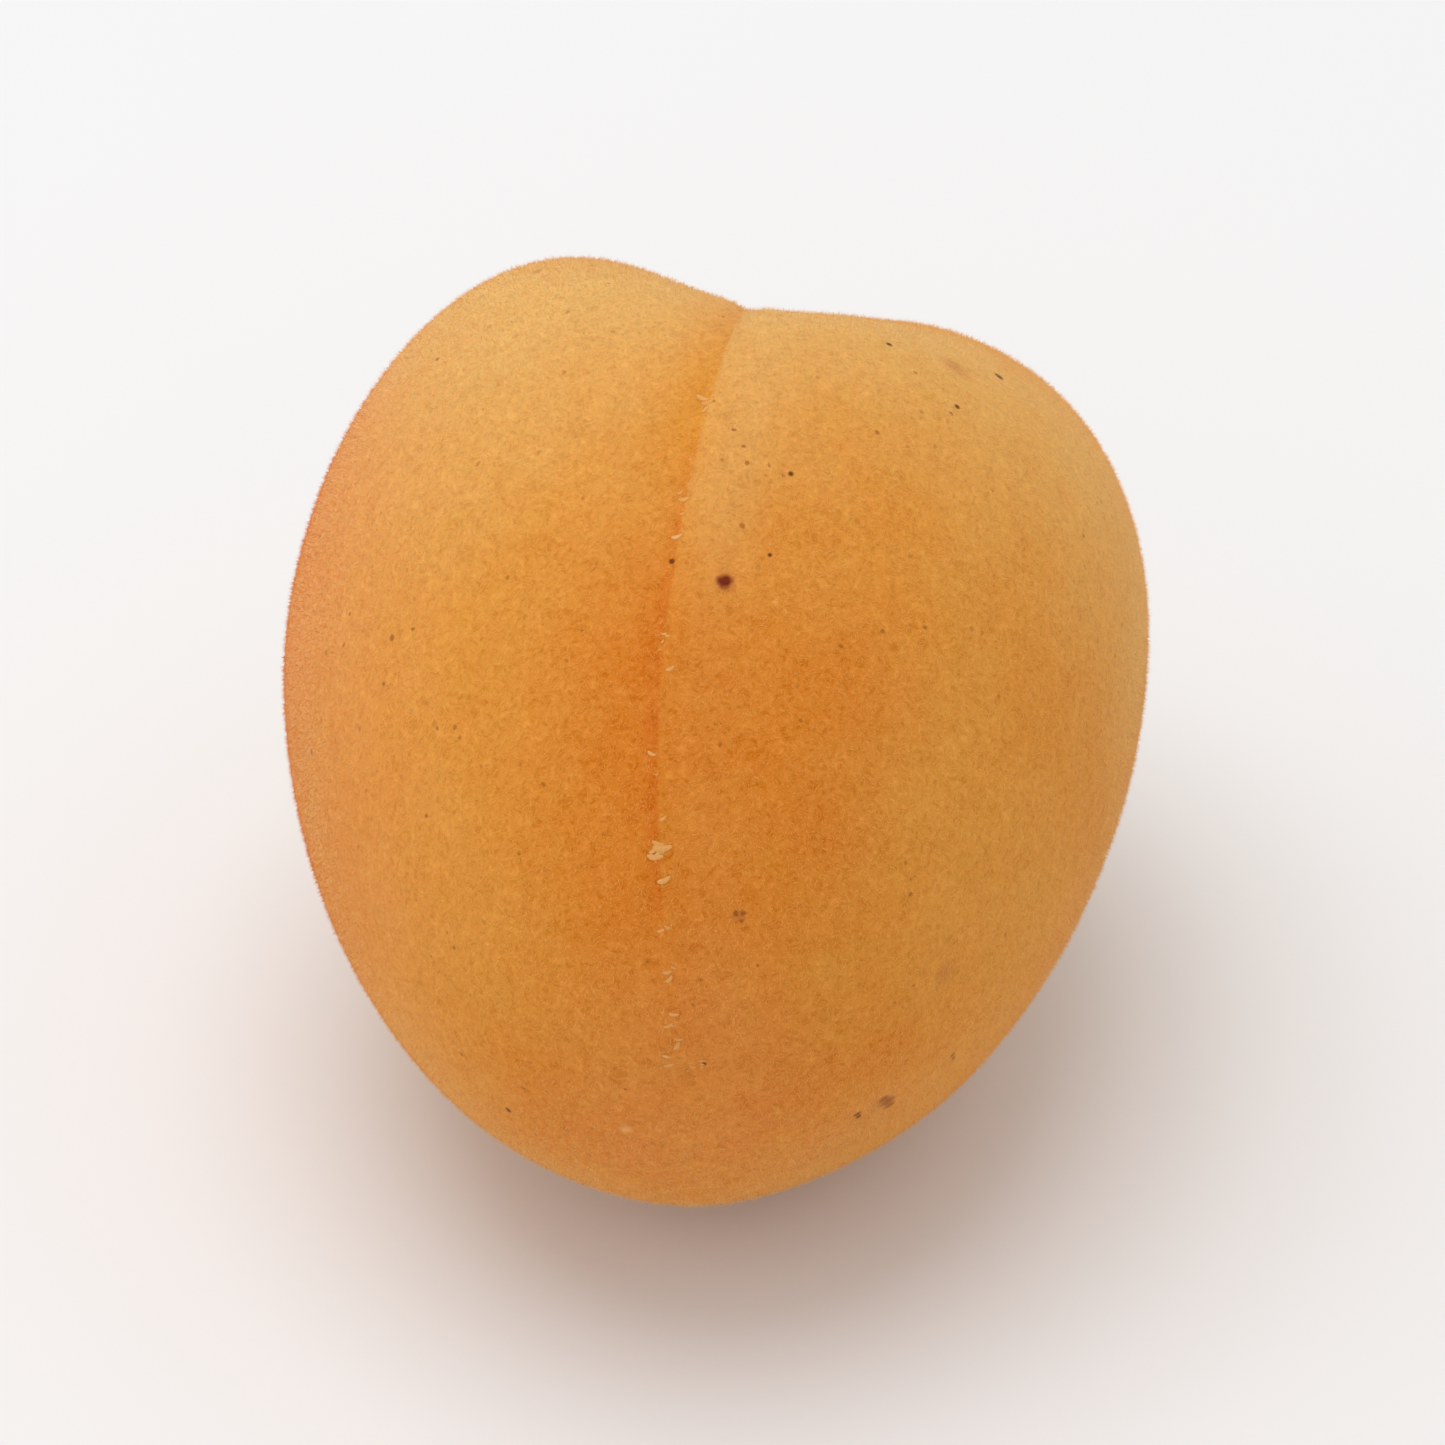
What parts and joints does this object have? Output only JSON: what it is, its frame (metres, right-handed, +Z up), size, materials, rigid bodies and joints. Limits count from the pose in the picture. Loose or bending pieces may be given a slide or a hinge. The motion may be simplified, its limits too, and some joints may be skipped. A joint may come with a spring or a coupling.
{
  "type": "apricot",
  "caption": "Whole apricot lying on its back: rounded heart-shaped body, velvety orange skin, suture groove along the top, stem scar in a funnel at one end.",
  "frame": {"origin": "middle of the flat spot's plane under the fruit: the bounding box's centre in X and Y, and its lowest plane in Z", "axes": "+Z up from the surface it lies on, +Y along the fruit to its stem end, +X to the right seen from the blossom end, with the suture along the top"},
  "size_m": [0.044, 0.0478, 0.0454],
  "materials": {
    "skin": "matt velvety skin, yellow-orange, paler where its fine hairs catch the light",
    "fuzz": "short fine pale hairs",
    "stem_scar": "dry dark brown scar",
    "flake": "dry pale flakes along the suture"
  },
  "bodies": {
    "root": {"apricot": "skin"}
  },
  "joints": []
}
